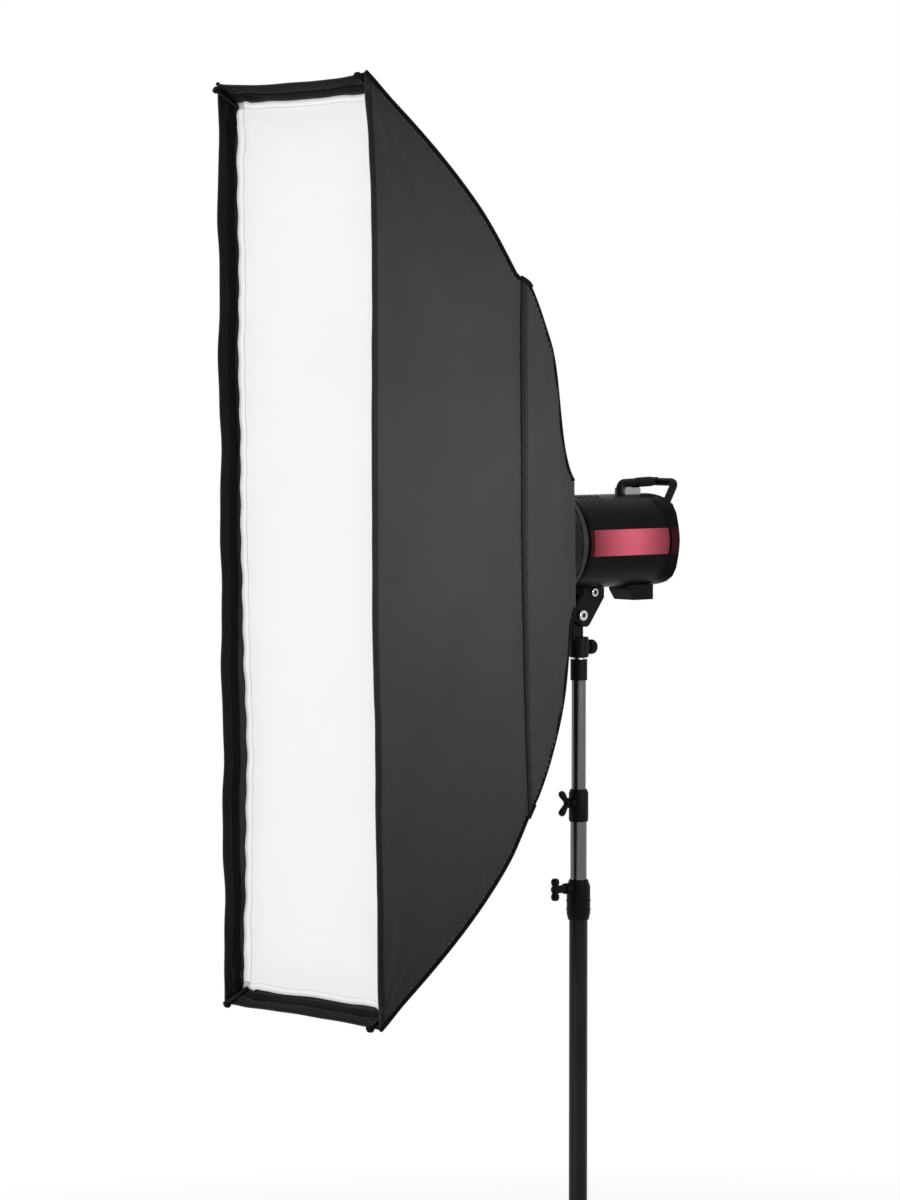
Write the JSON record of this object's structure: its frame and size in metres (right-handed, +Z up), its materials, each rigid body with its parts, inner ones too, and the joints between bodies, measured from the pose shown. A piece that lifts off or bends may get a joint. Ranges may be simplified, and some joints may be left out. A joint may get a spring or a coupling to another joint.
{
  "type": "studio softbox",
  "caption": "Tall strip softbox with a recessed white diffuser on a cylindrical studio flash head, carried by a folding telescopic light stand with a tilting, panning bracket.",
  "frame": {"origin": "on the floor under the stand's column", "axes": "+Z up along the column, -Y the way the light faces, +X the light's left hand, on the right of a viewer facing it"},
  "size_m": [0.8842, 1.0118, 1.907],
  "materials": {
    "column_alloy": "black satin anodised tube",
    "spigot_steel": "bright turned steel",
    "black_plastic": "matt black moulded plastic",
    "rubber": "matt black rubber",
    "ring_alloy": "black painted cast alloy",
    "red_label": "red satin label",
    "display": "dark glossy display",
    "lamp_glass": "clear lamp glass",
    "grey_cloth": "dark grey woven nylon",
    "white_cloth": "white translucent diffusion cloth"
  },
  "bodies": {
    "stand_base": {"lower_tube": "column_alloy", "lower_clamp": "black_plastic", "brace_collar": "black_plastic"},
    "lower_knob": {"lower_clamp_knob": "black_plastic"},
    "leg_carrier": {"leg_collar": "black_plastic"},
    "leg_knob": {"leg_collar_knob": "black_plastic"},
    "middle_section": {"middle_tube": "column_alloy", "upper_clamp": "black_plastic"},
    "upper_knob": {"upper_clamp_knob": "black_plastic"},
    "top_section": {"top_tube": "column_alloy", "spigot": "spigot_steel"},
    "swivel": {"bracket_socket": "black_plastic"},
    "socket_screw": {"socket_knob": "black_plastic"},
    "head": {"tilt_arm": "black_plastic", "tilt_bolt": "spigot_steel", "arm_screw": "spigot_steel", "head_housing": "black_plastic", "head_flange": "black_plastic", "rear_cap": "black_plastic", "power_inlet": "black_plastic", "display_window": "display", "slave_sensor": "red_label", "carry_handle": "black_plastic", "side_band_right": "red_label", "side_band_left": "red_label", "lamp_holder": "lamp_glass", "modelling_lamp": "lamp_glass", "flash_tube": "lamp_glass", "capacitor": "ring_alloy"},
    "lever": {"tilt_lever": "black_plastic"},
    "dial": {"control_dial": "black_plastic"},
    "key_1": {"button_1": "rubber"},
    "key_2": {"button_2": "rubber"},
    "key_3": {"button_3": "rubber"},
    "switch": {"power_switch": "red_label"},
    "softbox": {"speed_ring": "ring_alloy", "rod_1": "spigot_steel", "rod_2": "spigot_steel", "rod_3": "spigot_steel", "rod_4": "spigot_steel", "corner_pocket_1": "grey_cloth", "corner_pocket_2": "grey_cloth", "corner_pocket_3": "grey_cloth", "corner_pocket_4": "grey_cloth", "side_panel_right": "grey_cloth", "side_panel_left": "grey_cloth", "top_panel": "grey_cloth", "bottom_panel": "grey_cloth", "front_diffuser": "white_cloth", "inner_baffle": "white_cloth"},
    "ring_lock": {"ring_lock_knob": "black_plastic"},
    "leg_1": {"leg_1": "column_alloy", "foot_1": "rubber"},
    "brace_1": {"brace_1": "column_alloy"},
    "leg_2": {"leg_2": "column_alloy", "foot_2": "rubber"},
    "brace_2": {"brace_2": "column_alloy"},
    "leg_3": {"leg_3": "column_alloy", "foot_3": "rubber"},
    "brace_3": {"brace_3": "column_alloy"}
  },
  "joints": [
    {"name": "middle_slide", "type": "slide", "parent": "stand_base", "child": "middle_section", "axis": [0, 0, 1], "range_m": [-0.05, 0.55]},
    {"name": "top_slide", "type": "slide", "parent": "middle_section", "child": "top_section", "axis": [0, 0, 1], "range_m": [-0.11, 0.55]},
    {"name": "pan", "type": "hinge", "parent": "top_section", "child": "swivel", "pos_m": [0, 0, 1.1565], "axis": [0, 0, 1], "continuous": true},
    {"name": "tilt", "type": "hinge", "parent": "swivel", "child": "head", "pos_m": [0, -0.007, 1.201], "axis": [1, 0, 0], "range_deg": [-60, 26]},
    {"name": "softbox_turn", "type": "hinge", "parent": "head", "child": "softbox", "pos_m": [0, -0.068, 1.3], "axis": [0, 1, 0], "continuous": true},
    {"name": "lower_knob_turn", "type": "hinge", "parent": "stand_base", "child": "lower_knob", "pos_m": [0, -0.0429, 0.83], "axis": [0, -1, 0], "range_deg": [-90, 180]},
    {"name": "upper_knob_turn", "type": "hinge", "parent": "middle_section", "child": "upper_knob", "pos_m": [0, -0.0209, 0.946], "axis": [0, -1, 0], "range_deg": [-90, 180]},
    {"name": "socket_knob_turn", "type": "hinge", "parent": "swivel", "child": "socket_screw", "pos_m": [0, 0.02175, 1.1565], "axis": [0, 1, 0], "range_deg": [-90, 180]},
    {"name": "tilt_lever_turn", "type": "hinge", "parent": "head", "child": "lever", "pos_m": [-0.0215, -0.007, 1.201], "axis": [1, 0, 0], "range_deg": [-40, 35]},
    {"name": "ring_lock_turn", "type": "hinge", "parent": "softbox", "child": "ring_lock", "pos_m": [-0.05737, -0.059, 1.35569], "axis": [-0.7175, 0, 0.6965], "range_deg": [-90, 180]},
    {"name": "dial_turn", "type": "hinge", "parent": "head", "child": "dial", "pos_m": [0, 0.1364, 1.288], "axis": [0, 1, 0], "continuous": true},
    {"name": "key_1_press", "type": "slide", "parent": "head", "child": "key_1", "axis": [0, -1, 0], "range_m": [0, 0.0018], "stiffness_N_per_m": 500},
    {"name": "key_2_press", "type": "slide", "parent": "head", "child": "key_2", "axis": [0, -1, 0], "range_m": [0, 0.0018], "stiffness_N_per_m": 500},
    {"name": "key_3_press", "type": "slide", "parent": "head", "child": "key_3", "axis": [0, -1, 0], "range_m": [0, 0.0018], "stiffness_N_per_m": 500},
    {"name": "switch_rock", "type": "hinge", "parent": "head", "child": "switch", "pos_m": [-0.027, 0.1339, 1.271], "axis": [1, 0, 0], "range_deg": [-8, 8]},
    {"name": "leg_fold", "type": "slide", "parent": "stand_base", "child": "leg_carrier", "axis": [0, 0, 1], "range_m": [0, 0.2249]},
    {"name": "leg_knob_turn", "type": "hinge", "parent": "leg_carrier", "child": "leg_knob", "pos_m": [0, -0.042, 0.36], "axis": [0, -1, 0], "range_deg": [-90, 180]},
    {"name": "leg_1_hinge", "type": "hinge", "parent": "leg_carrier", "child": "leg_1", "pos_m": [0, 0.04, 0.36], "axis": [-1, 0, 0], "range_deg": [0, 49]},
    {"name": "brace_1_hinge", "type": "hinge", "parent": "stand_base", "child": "brace_1", "pos_m": [0, 0.025, 0.1], "axis": [1, 0, 0], "range_deg": [0, 56.68]},
    {"name": "leg_2_hinge", "type": "hinge", "parent": "leg_carrier", "child": "leg_2", "pos_m": [-0.03464, -0.02, 0.36], "axis": [0.5, -0.866, 0], "range_deg": [0, 49]},
    {"name": "brace_2_hinge", "type": "hinge", "parent": "stand_base", "child": "brace_2", "pos_m": [-0.02165, -0.0125, 0.1], "axis": [-0.5, 0.866, 0], "range_deg": [0, 56.68]},
    {"name": "leg_3_hinge", "type": "hinge", "parent": "leg_carrier", "child": "leg_3", "pos_m": [0.03464, -0.02, 0.36], "axis": [0.5, 0.866, 0], "range_deg": [0, 49]},
    {"name": "brace_3_hinge", "type": "hinge", "parent": "stand_base", "child": "brace_3", "pos_m": [0.02165, -0.0125, 0.1], "axis": [-0.5, -0.866, 0], "range_deg": [0, 56.68]}
  ],
  "couplings": [
    {"joint": "leg_1_hinge", "follows": "leg_fold", "rad_per_m": 3.799},
    {"joint": "brace_1_hinge", "follows": "leg_fold", "rad_per_m": 4.3947},
    {"joint": "leg_2_hinge", "follows": "leg_fold", "rad_per_m": 3.799},
    {"joint": "brace_2_hinge", "follows": "leg_fold", "rad_per_m": 4.3947},
    {"joint": "leg_3_hinge", "follows": "leg_fold", "rad_per_m": 3.799},
    {"joint": "brace_3_hinge", "follows": "leg_fold", "rad_per_m": 4.3947}
  ]
}
